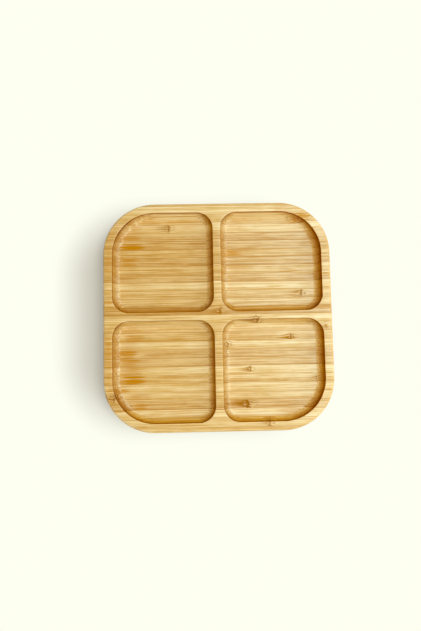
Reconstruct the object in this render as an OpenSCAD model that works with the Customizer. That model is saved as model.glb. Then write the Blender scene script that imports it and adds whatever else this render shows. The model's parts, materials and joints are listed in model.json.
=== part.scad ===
// Divided bamboo plate: strips of bamboo stood on edge, glued side by side into one board,
// then milled to a rounded square with four coved compartments.
// The origin is the centre of the underside. X runs along the strips, Y to the back, Z up.

/* [Plate] */
// Width of the plate, along the strips
plate_w = 200; // [170:1:260]
// Length of the plate, across the strips
plate_l = 200; // [170:1:260]
// Thickness of the plate
plate_t = 15; // [12:0.5:24]
// Radius of the plate's corners, seen from above
corner_r = 45; // [28:1:60]
// Radius of the rounded outer edge, at the top and at the bottom
edge_r = 2; // [0.5:0.25:4]

/* [Compartments] */
// Width of the rim round the compartments
rim_w = 8; // [5:0.5:14]
// Width of the divider between the left and right compartments
divider_x_w = 7; // [4:0.5:14]
// Width of the divider between the front and back compartments
divider_y_w = 7; // [4:0.5:14]
// Depth of the compartments below the rim
pocket_depth = 8; // [7.5:0.5:10]
// Radius of the three compartment corners that face the dividers and the straight rim
pocket_r = 14.5; // [8:0.5:22]
// Radius of the cove between a compartment's wall and its floor
cove_r = 6.5; // [3:0.25:7]
// Width of the small chamfer that eases a compartment's mouth
mouth_ease = 0.5; // [0.2:0.1:0.9]

/* [Strips] */
// Width of one bamboo strip, from glue line to glue line
strip_w = 7.45; // [5:0.05:12]
// How far the middle glue line lies behind the plate's centre
glue_shift = 0.75; // [-2:0.05:2]
// Narrowest strip that trimming may leave along the front or back edge
least_strip = 1.5; // [1:0.1:3]

/* [Hidden] */
$fn = 96;
// How far cutting tools run past the faces that they cut
overrun = 1;
// How far the wall cutter laps over the cutter for the flat floor
lap = 0.5;
// Each compartment's outer corner shares its centre with the plate's corner.
outer_pocket_r = corner_r - rim_w;
floor_z = plate_t - pocket_depth;

// Compartment behind and to the right of the centre; the other three are its mirror images.
pocket_left = divider_x_w / 2;
pocket_right = plate_w / 2 - rim_w;
pocket_front = divider_y_w / 2;
pocket_back = plate_l / 2 - rim_w;
// Its corners as [x, y, radius, direction of the corner in degrees]
pocket_corners = [
    [pocket_right - outer_pocket_r, pocket_back - outer_pocket_r, outer_pocket_r, 0],
    [pocket_left + pocket_r, pocket_back - pocket_r, pocket_r, 90],
    [pocket_left + pocket_r, pocket_front + pocket_r, pocket_r, 180],
    [pocket_right - pocket_r, pocket_front + pocket_r, pocket_r, 270],
];

// Half the plate's straight edges
half_run_x = plate_w / 2 - corner_r;
half_run_y = plate_l / 2 - corner_r;

// Glue lines, counted from the front edge
lines_in_front = floor((plate_l / 2 - least_strip + glue_shift) / strip_w);
lines_behind = floor((plate_l / 2 - least_strip - glue_shift) / strip_w);
strip_count = lines_in_front + lines_behind + 2;
function glue_line(n) = glue_shift + (n - 1 - lines_in_front) * strip_w;
function strip_front(i) = i == 1 ? -plate_l / 2 - overrun : glue_line(i - 1);
function strip_back(i) = i == strip_count ? plate_l / 2 + overrun : glue_line(i);

function strip_name(i) = str("strip_", i < 10 ? "0" : "", i);

// Bamboo is not one colour: each strip keeps the shade of its own cane.
pale = "#e6c38c";
honey = "#dcb274";
brown = "#cf9f5e";
// Shades of the strips from the front to the back
strip_shades = [
    honey, honey, pale, brown, honey, pale, honey,
    pale, brown, brown, pale, honey, honey, pale,
    brown, honey, honey, pale, brown, honey, brown,
    honey, brown, brown, pale, honey, pale, honey,
];
function strip_shade(i) = strip_shades[(i - 1) % len(strip_shades)];

// Quarter of a disc, between the +X and +Y axes
module quarter_disc(r) {
    intersection() {
        circle(r);
        square(r);
    }
}

// Half section of the plate from a corner's centre out to its edge, rounded at top and bottom
module edge_profile() {
    inner_w = corner_r - edge_r;
    square([inner_w, plate_t]);
    translate([inner_w, edge_r])
        square([edge_r, plate_t - 2 * edge_r]);
    translate([inner_w, plate_t - edge_r])
        quarter_disc(edge_r);
    translate([inner_w, edge_r])
        mirror([0, 1])
            quarter_disc(edge_r);
}

// Section of a compartment's wall, from the cove's foot outwards: cove, short upright wall, chamfered mouth
module wall_profile() {
    upright = pocket_depth - cove_r;
    translate([-lap, 0])
        square([lap, pocket_depth + overrun]);
    translate([0, cove_r])
        mirror([0, 1])
            quarter_disc(cove_r);
    translate([0, cove_r])
        square([cove_r, upright + overrun]);
    translate([cove_r, pocket_depth])
        polygon([[0, -mouth_ease], [mouth_ease + overrun, overrun], [0, overrun]]);
}

// Draws its children only where strip i reaches into the stretch between two Y values
module within_strip(i, from_y, to_y) {
    if (strip_back(i) > from_y && strip_front(i) < to_y)
        children();
}

// A profile run along +Y over the given length, with the profile's own X outwards
module run_along_y(length) {
    rotate([90, 0, 0])
        mirror([0, 0, 1])
            linear_extrude(length)
                children();
}

// Parts of the plain board, before milling, that strip i is cut from
module board_for(i) {
    within_strip(i, -half_run_y, half_run_y)
        translate([-half_run_x, -half_run_y, 0])
            cube([2 * half_run_x, 2 * half_run_y, plate_t]);
    within_strip(i, -half_run_y, half_run_y)
        for (side = [0, 1])
            mirror([side, 0, 0])
                translate([half_run_x, -half_run_y, 0])
                    run_along_y(2 * half_run_y)
                        edge_profile();
    for (end = [-1, 1])
        within_strip(i, end > 0 ? half_run_y : -plate_l, end > 0 ? plate_l : -half_run_y)
            mirror([0, end > 0 ? 0 : 1, 0])
                board_end();
}

// The board behind the straight sides: the back edge and its two round corners
module board_end() {
    translate([half_run_x, half_run_y, 0])
        rotate(90)
            run_along_y(2 * half_run_x)
                edge_profile();
    for (side = [0, 1])
        mirror([side, 0, 0])
            translate([half_run_x, half_run_y, 0])
                rotate_extrude(angle = 90)
                    edge_profile();
}

// Flat-floored middle of a compartment, ending halfway across the lap inside the feet of its coves
module pocket_core() {
    inset = cove_r + lap / 2;
    low_x = pocket_left + inset;
    high_x = pocket_right - inset;
    low_y = pocket_front + inset;
    high_y = pocket_back - inset;
    small = pocket_r - inset;
    large = outer_pocket_r - inset;
    linear_extrude(pocket_depth + overrun) {
        polygon([
            [low_x, low_y + small], [low_x + small, low_y + small], [low_x + small, low_y],
            [high_x - small, low_y], [high_x - small, low_y + small], [high_x, low_y + small],
            [high_x, high_y - large], [high_x - large, high_y - large], [high_x - large, high_y],
            [low_x + small, high_y], [low_x + small, high_y - small], [low_x, high_y - small],
        ]);
        for (corner = pocket_corners)
            translate([corner[0], corner[1]])
                rotate(corner[3])
                    quarter_disc(corner[2] - inset);
    }
}

// One straight wall of a compartment between two points of its mouth, with the wall on the right-hand side
module pocket_wall(from, to) {
    step = to - from;
    translate([from[0], from[1], 0])
        rotate(atan2(step[1], step[0]) - 90)
            translate([-cove_r, 0, 0])
                run_along_y(norm(step))
                    wall_profile();
}

// What the milling cutter takes out of strip i for the compartment behind and to the right
module pocket_for(i, flip) {
    back = pocket_corners[0];
    left = pocket_corners[1];
    front = pocket_corners[2];
    right = pocket_corners[3];
    low = flip ? -strip_back(i) : strip_front(i);
    high = flip ? -strip_front(i) : strip_back(i);
    translate([0, 0, floor_z]) {
        if (high > pocket_front + cove_r && low < pocket_back - cove_r)
            pocket_core();
        if (high > right[1] && low < back[1])
            pocket_wall([pocket_right, right[1]], [pocket_right, back[1]]);
        if (high > front[1] && low < left[1])
            pocket_wall([pocket_left, left[1]], [pocket_left, front[1]]);
        if (high > pocket_back - cove_r && low < pocket_back + mouth_ease + overrun)
            pocket_wall([back[0], pocket_back], [left[0], pocket_back]);
        if (high > pocket_front - mouth_ease - overrun && low < pocket_front + cove_r)
            pocket_wall([front[0], pocket_front], [right[0], pocket_front]);
        for (corner = pocket_corners)
            if (corner_meets(corner, low, high))
                translate([corner[0], corner[1], 0])
                    rotate(corner[3])
                        rotate_extrude(angle = 90)
                            translate([corner[2] - cove_r, 0])
                                wall_profile();
    }
}

// Whether a round corner's wall reaches into the stretch between two Y values
function corner_meets(corner, low, high) =
    let (reach = corner[2] + mouth_ease + overrun, to_back = corner[3] < 180)
    high > (to_back ? corner[1] : corner[1] - reach) && low < (to_back ? corner[1] + reach : corner[1]);

// One bamboo strip: its slice of the board, with its share of the compartments milled out
module strip(i) {
    color(strip_shade(i))
        difference() {
            intersection() {
                board_for(i);
                translate([-plate_w / 2 - overrun, strip_front(i), -overrun])
                    cube([plate_w + 2 * overrun, strip_back(i) - strip_front(i), plate_t + 2 * overrun]);
            }
            for (side = [0, 1])
                mirror([side, 0, 0]) {
                    if (strip_back(i) > 0)
                        pocket_for(i, false);
                    if (strip_front(i) < 0)
                        mirror([0, 1, 0])
                            pocket_for(i, true);
                }
        }
}

for (i = [1 : strip_count])
    strip(i);
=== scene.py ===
# %% [markdown]
# # A divided bamboo plate
#
# The real plate starts as a board: narrow bamboo strips are stood on edge and glued side by side.
# A cutter then rounds the board's outline and sinks four coved compartments into it, and the whole
# plate is sanded and oiled. This lesson keeps that order. Each strip is a mesh of its own, and the
# milling is a formula that says how high the wood stands at any place.

# %% Load the fixed frame
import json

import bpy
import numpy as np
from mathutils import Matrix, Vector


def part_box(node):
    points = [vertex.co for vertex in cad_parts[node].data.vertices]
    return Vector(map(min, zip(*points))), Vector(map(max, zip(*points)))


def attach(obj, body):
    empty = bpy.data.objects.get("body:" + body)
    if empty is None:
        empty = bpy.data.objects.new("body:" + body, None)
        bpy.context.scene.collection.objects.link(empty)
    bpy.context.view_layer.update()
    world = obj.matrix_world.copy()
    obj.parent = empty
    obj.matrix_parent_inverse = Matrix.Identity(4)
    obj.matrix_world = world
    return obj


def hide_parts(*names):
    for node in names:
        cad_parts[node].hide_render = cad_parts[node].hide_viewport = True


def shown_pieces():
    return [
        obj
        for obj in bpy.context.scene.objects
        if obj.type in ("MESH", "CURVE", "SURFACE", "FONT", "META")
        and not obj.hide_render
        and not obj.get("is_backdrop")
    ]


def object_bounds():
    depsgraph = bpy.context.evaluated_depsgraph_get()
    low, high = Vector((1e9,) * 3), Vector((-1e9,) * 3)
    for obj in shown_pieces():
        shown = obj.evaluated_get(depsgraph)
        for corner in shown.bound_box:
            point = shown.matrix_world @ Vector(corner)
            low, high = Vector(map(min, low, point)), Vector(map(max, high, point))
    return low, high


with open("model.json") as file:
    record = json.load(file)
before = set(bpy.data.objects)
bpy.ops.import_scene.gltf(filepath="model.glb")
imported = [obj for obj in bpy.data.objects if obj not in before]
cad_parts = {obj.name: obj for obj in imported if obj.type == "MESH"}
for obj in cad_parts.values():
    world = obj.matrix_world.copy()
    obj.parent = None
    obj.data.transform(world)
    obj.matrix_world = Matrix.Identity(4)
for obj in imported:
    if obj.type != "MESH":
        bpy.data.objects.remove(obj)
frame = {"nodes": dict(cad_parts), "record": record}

# %% [markdown]
# The frame holds the plate's exact solids, in metres, with the origin under its middle. We read the
# plate's size and every strip's front and back glue line from it, so nothing here can drift away
# from the construction. The record says which of three shades each strip has.

MM = 0.001
cad_low, cad_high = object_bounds()
half_plate = cad_high.x
plate_t = cad_high.z - cad_low.z
strip_names = sorted(frame["nodes"])
glue_lines = {name: (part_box(name)[0].y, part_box(name)[1].y) for name in strip_names}
shade_of = {part["node"]: part["material_slot"] for part in frame["record"]["subparts"]}
strip_w = max(back - front for front, back in glue_lines.values())
print(f"plate {2 * half_plate / MM:.0f} mm wide, {plate_t / MM:.0f} mm thick")
print(f"{len(strip_names)} strips, the full ones {strip_w / MM:.2f} mm wide")

# %% [markdown]
# ## The milled form
#
# Seen from above, the plate and its compartments are rounded squares. Everything else follows from
# one question: how far inside such an outline is a point? A rounded outer edge, a cove and a
# softened mouth are then plain quarter circles of that distance. Sculpting or bevelling would reach
# a similar look, but a formula keeps the walls of all strips in line with each other.

# %% Sizes that the cutter leaves
corner_r = 45 * MM
edge_r = 2 * MM
rim_w = 8 * MM
divider_w = 7 * MM
pocket_depth = 8 * MM
pocket_r = 14.5 * MM
cove_r = 6.5 * MM
# Sanding takes the sharpness off a compartment's mouth, and the cutter leaves a trace of draft.
mouth_r = 0.5 * MM
draft = 0.03 * MM

pocket_near = divider_w / 2
pocket_far = half_plate - rim_w
pocket_mid = (pocket_near + pocket_far) / 2
pocket_half = (pocket_far - pocket_near) / 2
outer_pocket_r = corner_r - rim_w
print(f"compartments {2 * pocket_half / MM:.1f} mm wide, {pocket_depth / MM:.0f} mm deep")


# %% How far inside an outline a point lies
def inside(x, y, middle, half, radius):
    """Distance inside a rounded square of that half width round (middle, middle), negative outside.

    Past both of a corner's tangents it is the radius minus the distance to the corner's centre;
    elsewhere it is the distance to the nearest straight side.
    """
    past_x = np.abs(x - middle) - half + radius
    past_y = np.abs(y - middle) - half + radius
    round_part = np.hypot(np.maximum(past_x, 0), np.maximum(past_y, 0))
    straight_part = np.minimum(np.maximum(past_x, past_y), 0)
    return radius - round_part - straight_part


def insets(x, y):
    """Distances of (x, y) inside the plate's outline and inside the mouth of its compartment.

    The four compartments are mirror images, so the formula works on the absolute values.
    """
    ax, ay = np.abs(x), np.abs(y)
    at_plate_corner = (ax > pocket_mid) & (ay > pocket_mid)
    radius = np.where(at_plate_corner, outer_pocket_r, pocket_r)
    return inside(ax, ay, 0, half_plate, corner_r), inside(ax, ay, pocket_mid, pocket_half, radius)


# %% Sections of the outer edge and of a compartment's wall
def edge_drop(inset):
    """Fall of the rounded outer edge: a quarter circle from full depth at the outline to nothing."""
    left = np.clip(edge_r - inset, 0, edge_r)
    return edge_r - np.sqrt(edge_r**2 - left**2)


def pocket_drop(inset):
    """Depth below the rim: sanded mouth, short upright wall, cove, flat floor.

    The mouth and the cove are quarter circles, bent opposite ways; the wall between them leans by
    the draft.
    """
    mouth = np.clip(inset + mouth_r, 0, mouth_r)
    mouth_fall = mouth_r - np.sqrt(mouth_r**2 - mouth**2)
    upright_fall = np.clip(inset / draft, 0, 1) * (pocket_depth - cove_r - mouth_r)
    from_foot = cove_r - np.clip(inset - draft, 0, cove_r)
    return mouth_fall + upright_fall + np.sqrt(cove_r**2 - from_foot**2)


# %% Height of the wood at any place
def milled(x, y):
    """Heights of the plate's top and underside at (x, y).

    The top is the thickness less the fall of the edge and of the compartment, and the underside
    rises by the fall of the edge.
    """
    from_rim, from_mouth = insets(x, y)
    edge = edge_drop(from_rim)
    return plate_t - edge - pocket_drop(from_mouth), edge


# %% [markdown]
# ## A strip as a row of posts
#
# Picture a strip as many thin upright posts, standing in rows across its width. Each post only
# needs its place and the heights of its two ends. If the posts simply stood on a square grid, the
# round walls would come out as stairs. So the posts follow the walls: in each row they stand where
# the row crosses lines that run at set distances inside the mouth and inside the plate's edge.

# %% Set distances from an edge
lines_round_edge = 8
lines_round_mouth = 6
lines_down_cove = 13


def quarter_turn(lines):
    """Even angles for that many lines, from nought to a right angle."""
    return np.linspace(0, np.pi / 2, lines)


edge_steps = edge_r * (1 - np.cos(quarter_turn(lines_round_edge)))
mouth_steps = mouth_r * (np.sin(quarter_turn(lines_round_mouth)) - 1)
cove_steps = draft + cove_r * (1 - np.cos(quarter_turn(lines_down_cove)))
wall_steps = np.concatenate([mouth_steps, cove_steps])
print(f"{len(wall_steps)} lines down each wall, {len(edge_steps)} round the outer edge")


# %% Rows across a strip
widest_gap = 0.8 * MM
least_gap = 0.05 * MM


def rows_across(front, back):
    """Y values from one glue line to the other: every line of the walls and edges that runs along
    the strip, and between them as many even steps as keep the gaps small."""
    lines = [pocket_near + wall_steps, pocket_far - wall_steps, half_plate - edge_steps]
    lines = np.concatenate(lines)
    lines = np.sort(np.concatenate([-lines, lines]))
    lines = lines[(lines > front + least_gap) & (lines < back - least_gap)]
    marks = np.concatenate([[front], lines, [back]])
    counts = np.ceil(np.diff(marks) / widest_gap)
    ends = np.concatenate([[0], np.cumsum(counts)])
    return np.interp(np.arange(ends[-1] + 1), ends, marks)


# %% Lines that a row crosses
def side_line(inset, past, edge, radius):
    """Where a row crosses the line that runs `inset` inside an edge.

    `past` is how far the row lies beyond the centre of the edge's round corner. The line is straight
    up to there, then an arc of the radius less the inset. A row that has left the arc behind goes
    on inwards at the same spacing, so that no two posts meet.
    """
    past = np.maximum(past, 0)
    reach = radius - inset
    square = reach**2 - past**2
    return edge - radius + np.where(square > 0, np.sqrt(np.maximum(square, 0)), reach - past)


def between(first, last, count):
    """`count` even places between two columns, without the columns themselves."""
    share = np.arange(1, count + 1) / (count + 1)
    return first + (last - first) * share


# %% Places of the posts in each row
posts_on_divider = 1
posts_on_floor = 7
posts_on_rim = 2


def posts_along(y):
    """X values of the posts in the rows y, a column: from the middle of the plate outwards, the
    divider, the inner wall, the floor, the outer wall, the rim and the edge, then their mirror
    image."""
    ay = np.abs(y)
    past_near = pocket_near + pocket_r - ay
    past_far = ay - (pocket_far - pocket_r)
    inner = -side_line(wall_steps, np.maximum(past_near, past_far), -pocket_near, pocket_r)
    at_round = ay > pocket_mid
    past_outer = np.where(at_round, ay - (pocket_far - outer_pocket_r), past_near)
    outer_r = np.where(at_round, outer_pocket_r, pocket_r)
    outer = side_line(wall_steps, past_outer, pocket_far, outer_r)
    edge = side_line(edge_steps, ay - half_plate + corner_r, half_plate, corner_r)
    half = np.concatenate([
        np.zeros_like(y), between(0, inner[:, :1], posts_on_divider),
        inner, between(inner[:, -1:], outer[:, -1:], posts_on_floor),
        outer[:, ::-1], between(outer[:, :1], edge[:, -1:], posts_on_rim), edge[:, ::-1],
    ], axis=1)
    return np.concatenate([-half[:, :0:-1], half], axis=1)


# %% Close the posts into a solid
def quads(a, b, c, d):
    """Four-sided faces from four equal arrays of vertex numbers."""
    return np.stack([a, b, c, d], axis=-1).reshape(-1, 4)


def closed_faces(rows, posts):
    """Faces of the top, the underside, the two ends and the two glue faces, all turned outwards."""
    top = np.arange(rows * posts).reshape(rows, posts)
    low = top + rows * posts
    return np.concatenate([
        quads(top[:-1, :-1], top[:-1, 1:], top[1:, 1:], top[1:, :-1]),
        quads(low[:-1, :-1], low[1:, :-1], low[1:, 1:], low[:-1, 1:]),
        quads(top[:-1, 0], top[1:, 0], low[1:, 0], low[:-1, 0]),
        quads(top[:-1, -1], low[:-1, -1], low[1:, -1], top[1:, -1]),
        quads(top[0, :-1], low[0, :-1], low[0, 1:], top[0, 1:]),
        quads(top[-1, :-1], top[-1, 1:], low[-1, 1:], low[-1, :-1]),
    ])


def mesh_from(name, places, faces):
    """A Blender mesh from an array of places and an array of four-sided faces."""
    mesh = bpy.data.meshes.new(name)
    mesh.vertices.add(len(places))
    mesh.vertices.foreach_set("co", places.astype(np.float32).ravel())
    mesh.loops.add(faces.size)
    mesh.loops.foreach_set("vertex_index", faces.astype(np.int32).ravel())
    mesh.polygons.add(len(faces))
    mesh.polygons.foreach_set("loop_start", np.arange(0, faces.size, 4, dtype=np.int32))
    mesh.update(calc_edges=True)
    return mesh


# %% [markdown]
# ## What every strip remembers of its cane
#
# A strip is sawn out of a cane's wall. One side of it lay near the skin, where the fibres are dense
# and brown, and the other near the hollow, where the wood is pale. Some canes are paler than others,
# and some strips took in a knuckle, the joint where the cane had a cross wall, or a patch that heat
# turned amber. A material can't know this by itself, so each strip carries it along as attributes,
# numbers stored at its vertices. The places below were set to follow the photo.
# Amber patches and weaker ones at the plate's left side are not the cane's: they are painted shade, a
# deeper and more orange colour where less light reaches. The others are the wood's own.

# %% Knuckles
# By strip number: place along the strip in millimetres, share of its width, size, and strength of
# the brown smear, which is negative where the smear lies to the left
knuckles = {
    2: (43, 0.4, 1.0, -0.6), 4: (25.5, 0.5, 1.8, -1.5), 5: (-90, 0.6, 1.3, -1.3),
    7: (86, 0.4, 0.6, -0.4), 8: (28, 0.55, 0.9, -0.7), 11: (8.5, 0.5, 1.0, -0.5),
    12: (65, 0.25, 1.0, -1.1), 13: (94, 0.5, 0.6, -0.5), 14: (35, 0.3, 1.3, -1.0),
    15: (2, 0.4, 1.1, -0.8), 17: (75, 0.55, 1.2, -0.7), 25: (-42, 0.6, 1.3, -0.7),
}
print(f"{len(knuckles)} knuckles")

# %% Amber patches, strong and weak, partly painted shade
# By strip number: place along the strip in millimetres, share of its width, size and strength
# Those at the plate's left side, from the left rim to the floors of the left compartments, are painted
# shade, deeper and more orange where less light reaches; the others are the wood's own
ambers_and_painted_shade = {
    4: (-69, 0.4, 0.9, 0.7), 5: (-95, 0.5, 1.3, 1.0), 6: (-89, 0.3, 1.3, 0.7),
    7: (-75, 0.5, 1.4, 1.0), 8: (-78, 0.5, 1.5, 0.5), 9: (-79, 0.45, 1.4, 0.8),
    10: (-80, 0.6, 1.3, 0.85), 11: (-78, 0.5, 1.5, 0.35), 12: (-74, 0.6, 1.3, 0.55),
    20: (-97, 0.5, 1.5, 0.4), 21: (-79, 0.5, 1.3, 0.85), 22: (15, 0.4, 1.3, 0.7),
    23: (-76, 0.4, 1.5, 1.0), 24: (-78, 0.5, 1.6, 0.5), 25: (-76, 0.5, 1.6, 0.4),
    26: (75, 0.5, 1.3, 0.8), 27: (80, 0.3, 1.0, 0.35), 28: (57, 0.1, 0.9, 0.4),
}
# Weaker patches of the same kind, most of them at the left rim, where they are painted shade
stains_and_painted_shade = {
    3: (62, 0.6, 1.6, 0.4), 5: (-70, 0.5, 1.6, 0.35), 7: (-97, 0.5, 1.5, 0.35),
    8: (-97, 0.5, 1.6, 0.4), 9: (-97, 0.5, 1.6, 0.5), 10: (-97, 0.5, 1.6, 0.55),
    11: (-97, 0.5, 1.7, 0.6), 12: (-97, 0.4, 1.6, 0.5), 13: (-80, 0.5, 1.5, 0.35),
    16: (-97, 0.5, 1.6, 0.5), 20: (20, 0.5, 1.9, 0.4), 21: (-97, 0.5, 1.6, 0.45),
    24: (-93, 0.5, 1.5, 0.25), 25: (-91, 0.4, 1.6, 0.4), 26: (-60, 0.5, 1.6, 0.4),
    27: (59, 0.5, 1.5, 0.35),
}
print(f"{len(ambers_and_painted_shade)} amber patches and {len(stains_and_painted_shade)} stains")

# %% Paleness of the canes
# By strip number: how much paler its cane was than others of its shade, or browner where negative
paleness = {
    1: -0.05, 2: 0.2, 3: 0.1, 5: 0.08, 6: 0.05, 8: 0.05, 9: 0.18, 10: 0.1, 11: -0.05, 13: 0.12,
    14: -0.1, 15: -0.15, 19: 0.04, 22: -0.2, 23: 0.07, 24: 0.12, 25: 0.15, 26: 0.06, 27: 0.12, 28: 0.2,
}
print(f"{len(paleness)} strips paler or browner than their shade")

# %% Places in a cane
chance = np.random.default_rng(28)
turn_spread = 0.003
cane_spread = 500


def fibre_places(x, y, z):
    """Places in the strip's own cane, in millimetres with the fibres along X.

    Each strip gets a random shift, so that no two show the same wood, and a slight turn, because
    no saw follows the fibres exactly.
    """
    turn = chance.normal(0, turn_spread)
    shift = chance.uniform(0, cane_spread, 3)
    along = x * np.cos(turn) + y * np.sin(turn)
    across = y * np.cos(turn) - x * np.sin(turn)
    return np.stack([along, across, z], axis=-1) / MM + shift


# %% Places round a mark
no_mark = (1000, 0.5, 1, 0)


def from_mark(x, y, skin_side, mark):
    """Distances from a mark's middle, along and across the fibres, and the mark's strength.

    The distances are millimetres divided by the mark's size. A negative strength turns it round.
    """
    place, share, size, strength = mark
    along = (x / MM - place) / size * (-1 if strength < 0 else 1)
    across = (y - skin_side - share * strip_w) / MM / size
    return np.stack([along, across, np.full_like(along, abs(strength))], axis=-1)


# %% Polish
edge_polish_w = 1.2 * edge_r
mouth_polish = 0.3


def polished(x, y):
    """How much hands and cloths have polished the top and the underside: most on the outer edge,
    from where it falls evenly inwards, and less at a mouth, from where it falls to both sides."""
    from_rim, from_mouth = insets(x, y)
    outer = 1 - from_rim / edge_polish_w
    mouth = 1 - np.abs(from_mouth + mouth_r / 2) / (2 * mouth_r)
    return np.clip([np.maximum(outer, mouth_polish * mouth), outer], 0, 1)


# %% Facing of the walls
hair_breadth = 0.01 * MM


def facing(x, y):
    """How far a compartment's wall faces right, back and up, from its fall over two hairs' breadth."""
    steps = ((hair_breadth, 0), (-hair_breadth, 0), (0, hair_breadth), (0, -hair_breadth))
    right, left, back, front = (pocket_drop(insets(x + dx, y + dy)[1]) for dx, dy in steps)
    normal = np.stack([right - left, back - front, np.full_like(x, 2 * hair_breadth)], axis=-1)
    return normal / np.linalg.norm(normal, axis=-1, keepdims=True)


# %% Attributes of one strip
def store(mesh, name, kind, values):
    """Keep one number or vector per vertex on the mesh, for its material to read."""
    field = "value" if kind == "FLOAT" else "vector"
    attribute = mesh.attributes.new(name, kind, "POINT")
    attribute.data.foreach_set(field, np.asarray(values, np.float32).ravel())


def remember(mesh, name, x, y, z):
    """Store, for its top and underside, what the strip knows of its cane and polish, and its painted
    shade and light.
    """
    number = int(name[-2:])
    front, back = glue_lines[name]
    # The first strip has lost some of its skin side to the plate's outline.
    skin_side = back - strip_w if name == strip_names[0] else front
    level = np.broadcast_to([0.0, 0.0, 1.0], (*x[0].shape, 3))
    store(mesh, "cane", "FLOAT_VECTOR", fibre_places(x, y, z))
    store(mesh, "from_skin", "FLOAT", (y - skin_side) / strip_w)
    store(mesh, "paleness", "FLOAT", np.full_like(x, paleness.get(number, 0)))
    store(mesh, "worn", "FLOAT", polished(x[0], y[0]))
    # Which way its walls face decides their painted shade and light
    store(mesh, "facing", "FLOAT_VECTOR", np.stack([facing(x[0], y[0]), level]))
    # The amber patches and weaker ones at the plate's left side are painted shade
    for mark, table in (("knuckle", knuckles), ("amber", ambers_and_painted_shade), ("stain_and_painted_shade", stains_and_painted_shade)):
        store(mesh, mark, "FLOAT_VECTOR", from_mark(x, y, skin_side, table.get(number, no_mark)))


# %% One strip
crease = np.radians(40)


def bamboo_strip(name):
    """The closed mesh of one strip: its posts' tops, then their lower ends."""
    y = rows_across(*glue_lines[name])[:, None]
    x = posts_along(y)
    y = np.broadcast_to(y, x.shape)
    x, y, z = np.stack([x, x]), np.stack([y, y]), np.stack(milled(x, y))
    places = np.stack([x, y, z], axis=-1).reshape(-1, 3)
    mesh = mesh_from("bamboo_" + name, places, closed_faces(*x[0].shape))
    mesh.shade_smooth()
    mesh.set_sharp_from_angle(angle=crease)
    remember(mesh, name, x, y, z)
    return mesh


# %% [markdown]
# ## Sanded and oiled bamboo
#
# Bamboo has no year rings. Its look comes from countless straight fibres: streaks where they run
# along a face, dots where the cutter went across them. A texture in space does both at once if it
# is stretched a hundredfold along the fibres, so the same few nodes give the streaked floors and
# the speckled coves. Three shades share one recipe with different colours. It starts with helpers
# that each add a few nodes.

# %% Helpers for a node recipe
def add(tree, kind, inputs, **settings):
    """A new shader node. An input may be a number, a colour or another node's output."""
    node = tree.nodes.new(kind)
    for key, value in settings.items():
        setattr(node, key, value)
    for key, value in inputs.items():
        if isinstance(value, bpy.types.NodeSocket):
            tree.links.new(value, node.inputs[key])
        else:
            node.inputs[key].default_value = value
    return node


def sums(tree, operation, value, *others):
    """Arithmetic on one value, or on several in turn from the first to the last."""
    if not others:
        return add(tree, "ShaderNodeMath", {0: value}, operation=operation).outputs[0]
    for other in others:
        value = add(tree, "ShaderNodeMath", {0: value, 1: other}, operation=operation).outputs[0]
    return value


def fade(tree, value, start, end, first=0.0, last=1.0):
    """A soft step from `first` to `last` while the value goes from `start` to `end`."""
    ends = {"Value": value, "From Min": start, "From Max": end, "To Min": first, "To Max": last}
    return add(tree, "ShaderNodeMapRange", ends, interpolation_type="SMOOTHSTEP").outputs["Result"]


def fade_out(tree, value, start, end):
    """A soft step from 1 to 0."""
    return fade(tree, value, start, end, 1.0, 0.0)


def stored(tree, name, output="Fac"):
    """What the strip stored at its vertices under that name."""
    return add(tree, "ShaderNodeAttribute", {}, attribute_name=name).outputs[output]


# %% Helpers for patterns along the fibres
streak_roughness = 0.6


def stretched(tree, cane, length, width):
    """The cane's places, scaled so that a pattern comes out at that length and width in millimetres."""
    scale = (1 / length, 1 / width, 1 / width)
    return add(tree, "ShaderNodeMapping", {"Vector": cane, "Scale": scale}).outputs[0]


def streaks(tree, cane, length, width, detail):
    """Noise drawn out along the fibres, in streaks of that length and width in millimetres."""
    noise = {"Vector": stretched(tree, cane, length, width), "Scale": 1.0, "Detail": detail,
             "Roughness": streak_roughness}
    return add(tree, "ShaderNodeTexNoise", noise).outputs["Fac"]


def centred(tree, value, gain):
    """A noise value shifted to swing round nought, and scaled."""
    return sums(tree, "MULTIPLY", sums(tree, "SUBTRACT", value, 0.5), gain)


def contour(tree, noise, core, rim):
    """The lines where a noise crosses its middle: 1 within `core` of it, and 0 from `rim` on."""
    return fade_out(tree, sums(tree, "ABSOLUTE", centred(tree, noise, 1.0)), core, rim)


# %% [markdown]
# Next are the masks, which are 1 where a mark is and 0 elsewhere. Fibre ends show as dots, the glue as
# thin seams, and knuckles and amber patches lie where their strip says. Seams are measured in shares
# of the strip's width, and all else in millimetres, for a mark of size 1.

# %% Fibre ends and glue seams
bundle_size = (30, 0.8)
dot_sizes = (0.52, 0.3)
dot_core = 0.35
seam_w = 0.09
far_seam_w = 0.03
far_seam = 0.5
seam_patches = (0.3, 0.65)
faint_seam = 0.5


def fibre_dots(tree, cane, from_skin):
    """Bundles of fibres: cells of the bundle's length and width, dark in the middle, and thicker
    near the skin."""
    place = stretched(tree, cane, *bundle_size)
    cells = add(tree, "ShaderNodeTexVoronoi", {"Vector": place, "Scale": 1.0})
    size = fade(tree, from_skin, 0.0, 1.0, *dot_sizes)
    return fade_out(tree, sums(tree, "DIVIDE", cells.outputs["Distance"], size), dot_core, 1.0)


def glue_seam(tree, from_skin, patchy):
    """A thin dark line at each glue face, stronger in some stretches than in others."""
    near = fade_out(tree, from_skin, 0.0, seam_w)
    far = fade(tree, from_skin, 1.0 - far_seam_w, 1.0, 0.0, far_seam)
    stretches = fade(tree, patchy, *seam_patches, faint_seam, 1.0)
    return sums(tree, "MULTIPLY", sums(tree, "ADD", near, far), stretches)


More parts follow.
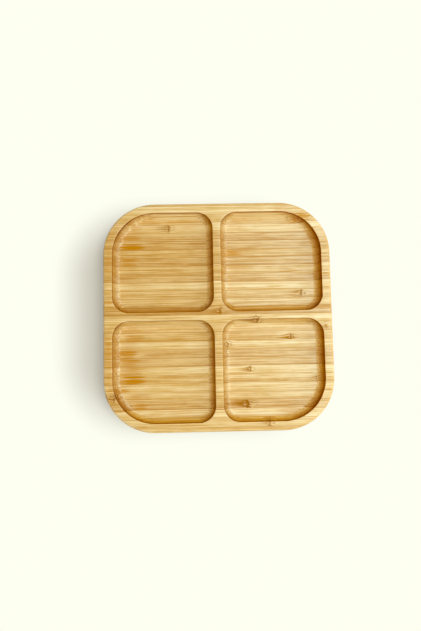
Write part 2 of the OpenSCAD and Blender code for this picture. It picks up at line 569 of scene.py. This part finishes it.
def mark_parts(tree, mark):
    """Place along and across a knuckle or an amber patch, from its middle, and its strength."""
    parts = add(tree, "ShaderNodeSeparateXYZ", {"Vector": stored(tree, mark, "Vector")}).outputs
    return parts[0], parts[1], parts[2]


# %% The line that a cross wall left
line_bow = 0.12
waver_scale = (3.0, 1.6, 1.0)
waver_gain = 4.0
line_w = (0.2, 1.0)
line_length = (1.6, 3.2)
curl_scale = (4.5, 2.2, 0.0)
curl_w = (0.02, 0.07)
curl_reach = (3.0, 6.0)
curl_share = 0.8
line_strengths = (0.3, 1.1)
faint_line = 0.8


def behind_line(tree, cane, along, side):
    """How far a place lies behind a knuckle's line, which is bowed like a parabola and wavers."""
    bow = sums(tree, "MULTIPLY", sums(tree, "POWER", side, 2.0), line_bow)
    waver = centred(tree, streaks(tree, cane, *waver_scale), waver_gain)
    return sums(tree, "ADD", sums(tree, "SUBTRACT", along, bow), waver)


def knuckle_lines(tree, cane, along, side, behind, strength):
    """The short line across the fibres, and curls round it, which are the contour lines of a coarse
    noise. Both are darker on a strong knuckle."""
    across = fade_out(tree, sums(tree, "ABSOLUTE", behind), *line_w)
    across = sums(tree, "MULTIPLY", across, fade_out(tree, side, *line_length))
    distance = sums(tree, "ADD", sums(tree, "ABSOLUTE", along), side)
    near = fade(tree, distance, *curl_reach, curl_share, 0.0)
    curled = contour(tree, streaks(tree, cane, *curl_scale), *curl_w)
    curled = sums(tree, "MULTIPLY", curled, near)
    dark = fade(tree, strength, *line_strengths, faint_line, 1.0)
    return sums(tree, "MULTIPLY", sums(tree, "MAXIMUM", across, curled), dark)


# %% Smear behind the line
smear_half_w = 2.8
smear_taper = 0.2
smear_side = (-2.0, 1.0)
smear_start = (-0.4, 0.4)
smear_end = (4.0, 16.0)
side_fray = 11.0
end_fray = 20.0


def knuckle_smear(tree, along, side, behind, strength, streak):
    """Fibres that crowd into a brown spear behind the line.

    Its half width shrinks evenly with the way along, and streaks tear its sides and its end.
    """
    half_w = sums(tree, "SUBTRACT", smear_half_w, sums(tree, "MULTIPLY", along, smear_taper))
    torn_side = sums(tree, "ADD", side, centred(tree, streak, side_fray))
    within = fade_out(tree, sums(tree, "SUBTRACT", torn_side, half_w), *smear_side)
    torn_end = sums(tree, "ADD", along, centred(tree, streak, end_fray))
    ending = fade_out(tree, torn_end, *smear_end)
    return sums(tree, "MULTIPLY", within, ending, fade(tree, behind, *smear_start), strength)


# %% A whole knuckle
core_place = 1.8
core_reach = (0.5, 1.8)


def knuckle_masks(tree, cane, streak):
    """Dark lines, brown smear and pale core of a knuckle. The core is a small spot behind the line."""
    along, across, strength = mark_parts(tree, "knuckle")
    side = sums(tree, "ABSOLUTE", across)
    behind = behind_line(tree, cane, along, side)
    from_core = sums(tree, "ABSOLUTE", sums(tree, "SUBTRACT", behind, core_place))
    core = fade_out(tree, sums(tree, "ADD", from_core, side), *core_reach)
    lines = knuckle_lines(tree, cane, along, side, behind, strength)
    return lines, knuckle_smear(tree, along, side, behind, strength, streak), core


# %% An amber patch
amber_half_length = 6.0
amber_half_w = 3.0
amber_edge = (0.0, 1.7)
streak_fray = 8.0
hair_fray = 5.0


# This mask also draws the painted shade at the plate's left side
def amber_mask(tree, mark, streak, hair):
    """An oval patch, torn into streaks: the squares of the distances along and across it, each over
    its half size, are summed, and the grain frays the sum."""
    along, across, strength = mark_parts(tree, mark)
    squares = []
    for distance, half in ((along, amber_half_length), (across, amber_half_w)):
        share = sums(tree, "DIVIDE", sums(tree, "ABSOLUTE", distance), half)
        squares.append(sums(tree, "POWER", share, 2.0))
    fray = sums(tree, "ADD", centred(tree, streak, streak_fray), centred(tree, hair, hair_fray))
    torn = sums(tree, "ADD", *squares, fray)
    return sums(tree, "MULTIPLY", fade_out(tree, torn, *amber_edge), strength)


# %% Fibres that part round a knuckle
parting_reach = (1.0, 9.0)
parting_half_w = 3.0
parting_push = 1.2


def curled_round_knuckles(tree, cane):
    """The cane's places, pushed sideways near a knuckle so that the fibres part round it."""
    along, across, _ = mark_parts(tree, "knuckle")
    near = fade_out(tree, sums(tree, "ABSOLUTE", along), *parting_reach)
    push = fade(tree, across, -parting_half_w, parting_half_w, parting_push, -parting_push)
    shift = add(tree, "ShaderNodeCombineXYZ", {"Y": sums(tree, "MULTIPLY", near, push)}).outputs[0]
    return add(tree, "ShaderNodeVectorMath", {0: cane, 1: shift}, operation="ADD").outputs["Vector"]


# %% [markdown]
# The colours come next, in the order in which the plate got them. First the fibres themselves: four
# noises move every place between a deep, a middle and a light colour, and a fifth draws thin dark
# fibres. Painting an image would give more say over single fibres, but it would end at the edge of
# each face, while this grain runs through the whole strip.

# %% Grain at five scales
# Length and width of the streaks in millimetres, and fineness
grain_scales = {
    "broad": (130.0, 2.4, 2.0), "streak": (130.0, 0.8, 3.0), "hair": (90.0, 0.45, 2.0),
    "line": (120.0, 2.0, 1.0), "cloud": (14.0, 5.0, 2.0),
}
dark_line_w = (0.01, 0.06)
dark_line_gaps = (0.35, 0.6)


def grain_of(tree, cane):
    """One noise for each scale of the grain."""
    return {name: streaks(tree, cane, *scale) for name, scale in grain_scales.items()}


def dark_lines(tree, grain):
    """Thin dark fibres: the contour lines of the line noise, broken up by the streaks."""
    unbroken = contour(tree, grain["line"], *dark_line_w)
    return sums(tree, "MULTIPLY", unbroken, fade(tree, grain["streak"], *dark_line_gaps))


# %% Colour of the fibres
skin_zone = (-0.1, 0.6)
skin_tones = (0.36, 0.6)
grain_gains = {"broad": 0.6, "streak": 2.1, "hair": 3.0, "cloud": 1.0}


def fibre_colour(tree, grain, from_skin, deep, middle, light):
    """Colour and tone of plain fibres.

    The tone rises from the skin inwards, shifts with the cane's paleness and swings with the grain.
    """
    tone = fade(tree, from_skin, *skin_zone, *skin_tones)
    tone = sums(tree, "ADD", tone, stored(tree, "paleness"))
    for name, gain in grain_gains.items():
        tone = sums(tree, "ADD", tone, centred(tree, grain[name], gain))
    ramp = add(tree, "ShaderNodeValToRGB", {"Fac": tone})
    ramp.color_ramp.elements[0].color = (*deep, 1)
    ramp.color_ramp.elements[1].color = (*light, 1)
    ramp.color_ramp.elements.new(0.5).color = (*middle, 1)
    return ramp.outputs["Color"], tone


# %% [markdown]
# Then come the marks, each laid over the fibres through its mask. Last are the walls of the
# compartments. In the photo they differ from what the lamps alone make of them here: those on the
# right and at the front lie in deeper shade, and the steep parts of the others are lighter. So the
# recipe asks each place which way it faces and paints the difference into the wood's colour:
# painted shade makes the first browner, and painted light makes the others paler.

# %% Colours of the marks
# This orange also paints the shade at the plate's left side
amber_tint = (0.5, 0.195, 0.001)
smear_tint = (0.36, 0.135, 0.004)
core_tint = (0.86, 0.6, 0.26)
line_tint = (0.27, 0.095, 0.002)


def blended(tree, amount, under, over, blend="MIX"):
    """The colour `over` laid on `under`, or multiplied with it, by the given amount."""
    colours = {0: amount, 6: under, 7: (*over, 1)}
    return add(tree, "ShaderNodeMix", colours, data_type="RGBA", blend_type=blend).outputs[2]


# %% Marks over the fibres
browning = (0.7, 0.55, 0.3)
cut_slopes = (0.0, 0.6)
dot_shares = (0.3, 0.6)


def marked(tree, colour, masks, slope, deep, light):
    """The fibres' colour with each mark's own laid over it, at most by the share that is given here.

    Fibre ends show best where a wall cuts across the fibres.
    """
    brown = [part * share for part, share in zip(deep, browning)]
    cut = fade(tree, sums(tree, "ABSOLUTE", slope[0]), *cut_slopes, *dot_shares)
    layers = (
        ("dark", 0.4, brown), ("dots", cut, deep), ("amber", 1.0, amber_tint),
        ("smear", 0.8, smear_tint), ("core", 0.3, core_tint), ("lines", 0.85, line_tint),
        ("seam", 0.7, brown), ("polish", 0.45, light),
    )
    for name, share, over in layers:
        colour = blended(tree, sums(tree, "MULTIPLY", masks[name], share), colour, over)
    return colour


# %% Painted shade and light on the walls
# Axis of the wall's facing, its values where the tint starts and is full, and the tint:
# painted shade where it is below 1, painted light where it is above 1
painted_wall_shade_and_light = (
    (0, 0.0, 0.7, (0.76, 0.71, 0.6)), (0, 0.8, 1.0, (1.33, 1.5, 1.4)),
    (0, 0.0, -0.9, (0.9, 0.58, 0.03)), (1, 0.0, -0.6, (1.0, 1.04, 1.1)),
    (1, -0.6, -1.0, (1.3, 1.4, 1.5)), (1, 0.0, 1.0, (0.98, 0.77, 0.1)),
)
# Painted shade that browns the steep parts of every wall, such as the dark line below a mouth
painted_upright_shade = (0.4, 0.2, 0.05)


def painted_wall_shading(tree, colour, slope):
    """The colour times a tint for each way that a wall faces, which paints shade and light, and a brown
    for steep wood, which paints shade.
    """
    upright = sums(tree, "POWER", sums(tree, "SUBTRACT", 1.0, slope[2]), 2.0)
    colour = blended(tree, upright, colour, painted_upright_shade, "MULTIPLY")
    for axis, start, end, tint in painted_wall_shade_and_light:
        colour = blended(tree, fade(tree, slope[axis], start, end), colour, tint, "MULTIPLY")
    return colour


# %% [markdown]
# Oil gives the wood a satin surface. Pale fibres shine most, scars, dark fibres and seams not at all,
# and polished edges are the smoothest. The sheen has a cool tint, which was tuned to the photo.
# Relief is left to a bump: a few hundredths of a millimetre are too fine for the mesh.

# %% Satin
gloss = (0.4, 0.7)
plain_gloss = 0.4
scars = ("lines", "smear", "amber", "dark", "seam")
dull_scars = (0.0, 0.8)
dull_slopes = (0.4, 1.0)
sheen_tint = (0.5, 0.95, 1.0, 1)
streak_range = (0.3, 0.7)
roughness = (0.31, 0.37)
rough_ends = 0.06
smooth_polish = 0.05
relief_strength = 0.25
relief_height = 0.06 * MM


def satin(tree, shader, grain, tone, slope, masks):
    """Gloss by tone, slope and scars; roughness by streaks, fibre ends and polish; bump by grain."""
    dots, polish = masks["dots"], masks["polish"]
    scar = sums(tree, "MAXIMUM", *(masks[name] for name in scars))
    shine = sums(tree, "MULTIPLY", fade(tree, tone, 0.0, 1.0, *gloss),
                 fade_out(tree, scar, *dull_scars), fade(tree, slope[2], *dull_slopes))
    # The export leaves out a linked gloss, so the socket also gets a plain one.
    shader.inputs["Specular IOR Level"].default_value = plain_gloss
    tree.links.new(shine, shader.inputs["Specular IOR Level"])
    shader.inputs["Specular Tint"].default_value = sheen_tint
    rough = fade(tree, grain["streak"], *streak_range, *roughness)
    rough = sums(tree, "ADD", rough, sums(tree, "MULTIPLY", dots, rough_ends))
    rough = sums(tree, "SUBTRACT", rough, sums(tree, "MULTIPLY", polish, smooth_polish))
    tree.links.new(rough, shader.inputs["Roughness"])
    relief = sums(tree, "SUBTRACT", sums(tree, "ADD", grain["streak"], grain["hair"]), dots)
    bump = {"Height": relief, "Strength": relief_strength, "Distance": relief_height}
    tree.links.new(add(tree, "ShaderNodeBump", bump).outputs["Normal"], shader.inputs["Normal"])


# %% The recipe
def masks_of(tree, straight, cane, from_skin, grain):
    """Every mark's mask, by its name."""
    lines, smear, core = knuckle_masks(tree, straight, grain["streak"])
    # The patches at the plate's left side are painted shade
    patches = [amber_mask(tree, mark, grain["streak"], grain["hair"]) for mark in ("amber", "stain_and_painted_shade")]
    return {
        "dark": dark_lines(tree, grain), "dots": fibre_dots(tree, cane, from_skin),
        "amber": sums(tree, "MAXIMUM", *patches), "smear": smear, "core": core, "lines": lines,
        "seam": glue_seam(tree, from_skin, grain["cloud"]), "polish": stored(tree, "worn"),
    }


def sanded_bamboo(name, deep, middle, light):
    """Satin bamboo between three colours, with its marks, its walls and its polish."""
    material = bpy.data.materials.new(name)
    material.use_nodes = True
    tree = material.node_tree
    shader = tree.nodes["Principled BSDF"]
    straight = stored(tree, "cane", "Vector")
    cane = curled_round_knuckles(tree, straight)
    from_skin = stored(tree, "from_skin")
    slope = add(tree, "ShaderNodeSeparateXYZ", {"Vector": stored(tree, "facing", "Vector")}).outputs
    grain = grain_of(tree, cane)
    masks = masks_of(tree, straight, cane, from_skin, grain)
    colour, tone = fibre_colour(tree, grain, from_skin, deep, middle, light)
    colour = painted_wall_shading(tree, marked(tree, colour, masks, slope, deep, light), slope)
    tree.links.new(colour, shader.inputs["Base Color"])
    satin(tree, shader, grain, tone, slope, masks)
    return material


# %% The three shades
# Deep, middle and light colour of the fibres
shade_colours = {
    "pale_bamboo": ((0.6, 0.325, 0.055), (0.745, 0.475, 0.158), (0.845, 0.62, 0.29)),
    "honey_bamboo": ((0.54, 0.265, 0.034), (0.688, 0.405, 0.111), (0.795, 0.548, 0.217)),
    "brown_bamboo": ((0.475, 0.215, 0.022), (0.626, 0.34, 0.079), (0.74, 0.475, 0.167)),
}
shades = {name: sanded_bamboo("sanded_" + name, *colours) for name, colours in shade_colours.items()}
print("shades:", ", ".join(shades))

# %% [markdown]
# ## The glued board
#
# Now every strip is made, finished in its shade and put in its CAD strip's place. All of them ride
# on the plate's one body, because glue lets nothing move.

# %% Make the strips
for name in strip_names:
    piece = bpy.data.objects.new("bamboo_" + name, bamboo_strip(name))
    bpy.context.scene.collection.objects.link(piece)
    piece.data.materials.append(shades[shade_of[name]])
    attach(piece, "root")
    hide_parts(name)
faces = sum(len(piece.data.polygons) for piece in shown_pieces())
print(f"{len(strip_names)} strips made, {faces} four-sided faces")

# %% [markdown]
# ## Floor, camera and light
#
# The plate lies on a plain cream floor. Where its shadow falls, to the left, the floor is mostly a
# darker
# matt paint: it takes the cast shadow, and its darkness paints more shadow there. Further out, the
# camera sees it glow at strength 1, which is the even cream of a studio backdrop in every view. A look
# at the underside needs a floor that is clear from below. It is also clear for the light that reaches
# the underside, whose rays end less than half a millimetre above it.

# %% Shadow's zone on the floor
shadow_middle = (-0.021, 0, 0)
shadow_straight = (0.051, 0.036, 0)
shadow_round = 0.04


def from_shadow(tree):
    """Distance outside a rounded rectangle of floor round the plate and its shadow, in metres.

    It is the length of what lies beyond the rectangle's straight sides, less the corners' radius.
    """
    away = add(tree, "ShaderNodeTexCoord", {}).outputs["Object"]
    steps = (("SUBTRACT", shadow_middle), ("ABSOLUTE", (0, 0, 0)), ("SUBTRACT", shadow_straight),
             ("MAXIMUM", (0, 0, 0)))
    for operation, other in steps:
        away = add(tree, "ShaderNodeVectorMath", {0: away, 1: other}, operation=operation).outputs[0]
    distance = add(tree, "ShaderNodeVectorMath", {0: away}, operation="LENGTH").outputs["Value"]
    return sums(tree, "SUBTRACT", distance, shadow_round)


def seen_directly(tree):
    """1 for rays from the camera, or from it by way of gloss or glass, and 0 for lighting."""
    path = add(tree, "ShaderNodeLightPath", {}).outputs
    kinds = (path["Is Camera Ray"], path["Is Glossy Ray"], path["Is Transmission Ray"])
    return sums(tree, "MAXIMUM", *kinds)


# %% Cream for the floor
cream = (0.985, 1.0, 0.88, 1)
# A darker, warmer paint for where the plate's shadow falls: it takes the cast shadow, and its darkness
# paints more shadow there
darker_shadow_paint = (0.47, 0.4, 0.315, 1)
glow_zone = (-0.006, 0.04)
# Even in the shadow's zone the camera sees this much glow, painted light that lifts the cast shadow
least_glow = 0.3
floor_gap = 0.1 * MM
underside_gap = 4 * floor_gap


def cream_floor():
    """Darker matt paint where the shadow falls, which paints more shadow, turning into an even cream
    glow, for the camera only, away from the plate.
    """
    material = bpy.data.materials.new("cream_floor")
    material.use_nodes = True
    tree = material.node_tree
    tree.nodes.remove(tree.nodes["Principled BSDF"])
    glow = fade(tree, from_shadow(tree), *glow_zone, least_glow)
    glow = sums(tree, "MULTIPLY", glow, seen_directly(tree))
    paint = add(tree, "ShaderNodeBsdfDiffuse", {"Color": darker_shadow_paint}).outputs[0]
    light = add(tree, "ShaderNodeEmission", {"Color": cream, "Strength": 1.0}).outputs[0]
    above = add(tree, "ShaderNodeMixShader", {0: glow, 1: paint, 2: light}).outputs[0]
    below = add(tree, "ShaderNodeNewGeometry", {}).outputs["Backfacing"]
    length = add(tree, "ShaderNodeLightPath", {}).outputs["Ray Length"]
    unseen = sums(tree, "MAXIMUM", below, sums(tree, "LESS_THAN", length, underside_gap))
    clear = add(tree, "ShaderNodeBsdfTransparent", {}).outputs[0]
    surface = add(tree, "ShaderNodeMixShader", {0: unseen, 1: above, 2: clear}).outputs[0]
    tree.links.new(surface, tree.nodes["Material Output"].inputs["Surface"])
    return material


# %% Floor
floor_reach = 4.0

floor_corners = np.array([[-1, -1, 0], [1, -1, 0], [1, 1, 0], [-1, 1, 0]]) * floor_reach
floor_mesh = mesh_from("floor", floor_corners - [0, 0, floor_gap], np.array([[0, 1, 2, 3]]))
floor = bpy.data.objects.new("floor", floor_mesh)
bpy.context.scene.collection.objects.link(floor)
floor.data.materials.append(cream_floor())
floor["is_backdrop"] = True
print(f"floor {2 * floor_reach:.0f} m wide")

# %% [markdown]
# The photo looks almost straight down, through a rather short lens. The camera's place and tilt were
# found by laying the plate's known outline over the picture.

# %% Camera
picture_h = 631
focal_length = 466.5
camera_place = (-13.3 * MM, -30.4 * MM, 420.0 * MM)
camera_tilt = (0.0755, -0.015, -0.02)

lens = bpy.data.cameras.new("camera")
lens.sensor_width = 36
lens.lens = lens.sensor_width * focal_length / picture_h
lens.clip_start = 0.01
camera = bpy.data.objects.new("camera", lens)
camera.location = camera_place
camera.rotation_euler = camera_tilt
bpy.context.scene.collection.objects.link(camera)
bpy.context.scene.camera = camera
print(f"lens {lens.lens:.1f} mm")

# %% [markdown]
# A wide soft lamp hangs high on the right. It gives most of the light, and the satin wood mirrors it,
# which is why the right half of the plate looks paler. A window, low on the right, brightens the
# walls that face it and lays the soft shadow on the left. A weak lamp in front keeps the shaded walls
# from going black. All three have the faint blue of daylight.

# %% Lamps
from mathutils import Vector

plate_middle = Vector((0, 0, plate_t))
daylight = (0.9, 0.955, 1.0)
# Place, width and height in metres, and power in watts
lamps = {
    "ceiling": ((0.42, 0.09, 0.93), 0.9, 0.55, 10.0),
    "window": ((0.9, -0.05, 0.43), 1.2, 0.6, 4.2),
    "fill": ((-0.15, -0.6, 0.78), 0.8, 0.5, 3.4),
}


def soft_lamp(name, place, width, height, power):
    """A lamp that faces the plate and isn't seen by the camera."""
    lamp = bpy.data.lights.new(name, "AREA")
    lamp.color = daylight
    lamp.shape = "RECTANGLE"
    lamp.size = width
    lamp.size_y = height
    lamp.energy = power
    holder = bpy.data.objects.new(name, lamp)
    holder.location = place
    aim = plate_middle - Vector(place)
    holder.rotation_euler = aim.to_track_quat("-Z", "Y").to_euler()
    holder.visible_camera = False
    bpy.context.scene.collection.objects.link(holder)


for name, values in lamps.items():
    soft_lamp(name, *values)
print("soft lamps:", ", ".join(lamps))

# %% [markdown]
# The room's walls are cream and bright, and they also fill the shaded sides of the plate with light.
# Its ceiling is dim, because the oiled wood would mirror a white one as a grey veil. Only a camera
# below the floor looks up at it, and that camera sees cream too.

# %% Room
room_light = 0.9
ceiling_light = 0.05
wall_top = (0.2, 0.46)
backdrop_top = (0.45, 0.7)


def cream_room():
    """Cream that fades upwards into a dim ceiling, later in mirrored rays, and not for the camera."""
    world = bpy.data.worlds.new("room")
    world.use_nodes = True
    tree = world.node_tree
    place = add(tree, "ShaderNodeTexCoord", {}).outputs["Generated"]
    height = add(tree, "ShaderNodeSeparateXYZ", {"Vector": place}).outputs["Z"]
    walls = fade(tree, height, *wall_top, room_light, ceiling_light)
    backdrop = sums(tree, "MULTIPLY", fade_out(tree, height, *backdrop_top), seen_directly(tree))
    camera_ray = add(tree, "ShaderNodeLightPath", {}).outputs["Is Camera Ray"]
    background = tree.nodes["Background"]
    background.inputs["Color"].default_value = cream
    strength = sums(tree, "MAXIMUM", walls, backdrop, camera_ray)
    tree.links.new(strength, background.inputs["Strength"])
    return world


bpy.context.scene.world = cream_room()
bpy.context.scene.view_settings.view_transform = "Standard"
print(f"room light {room_light}")
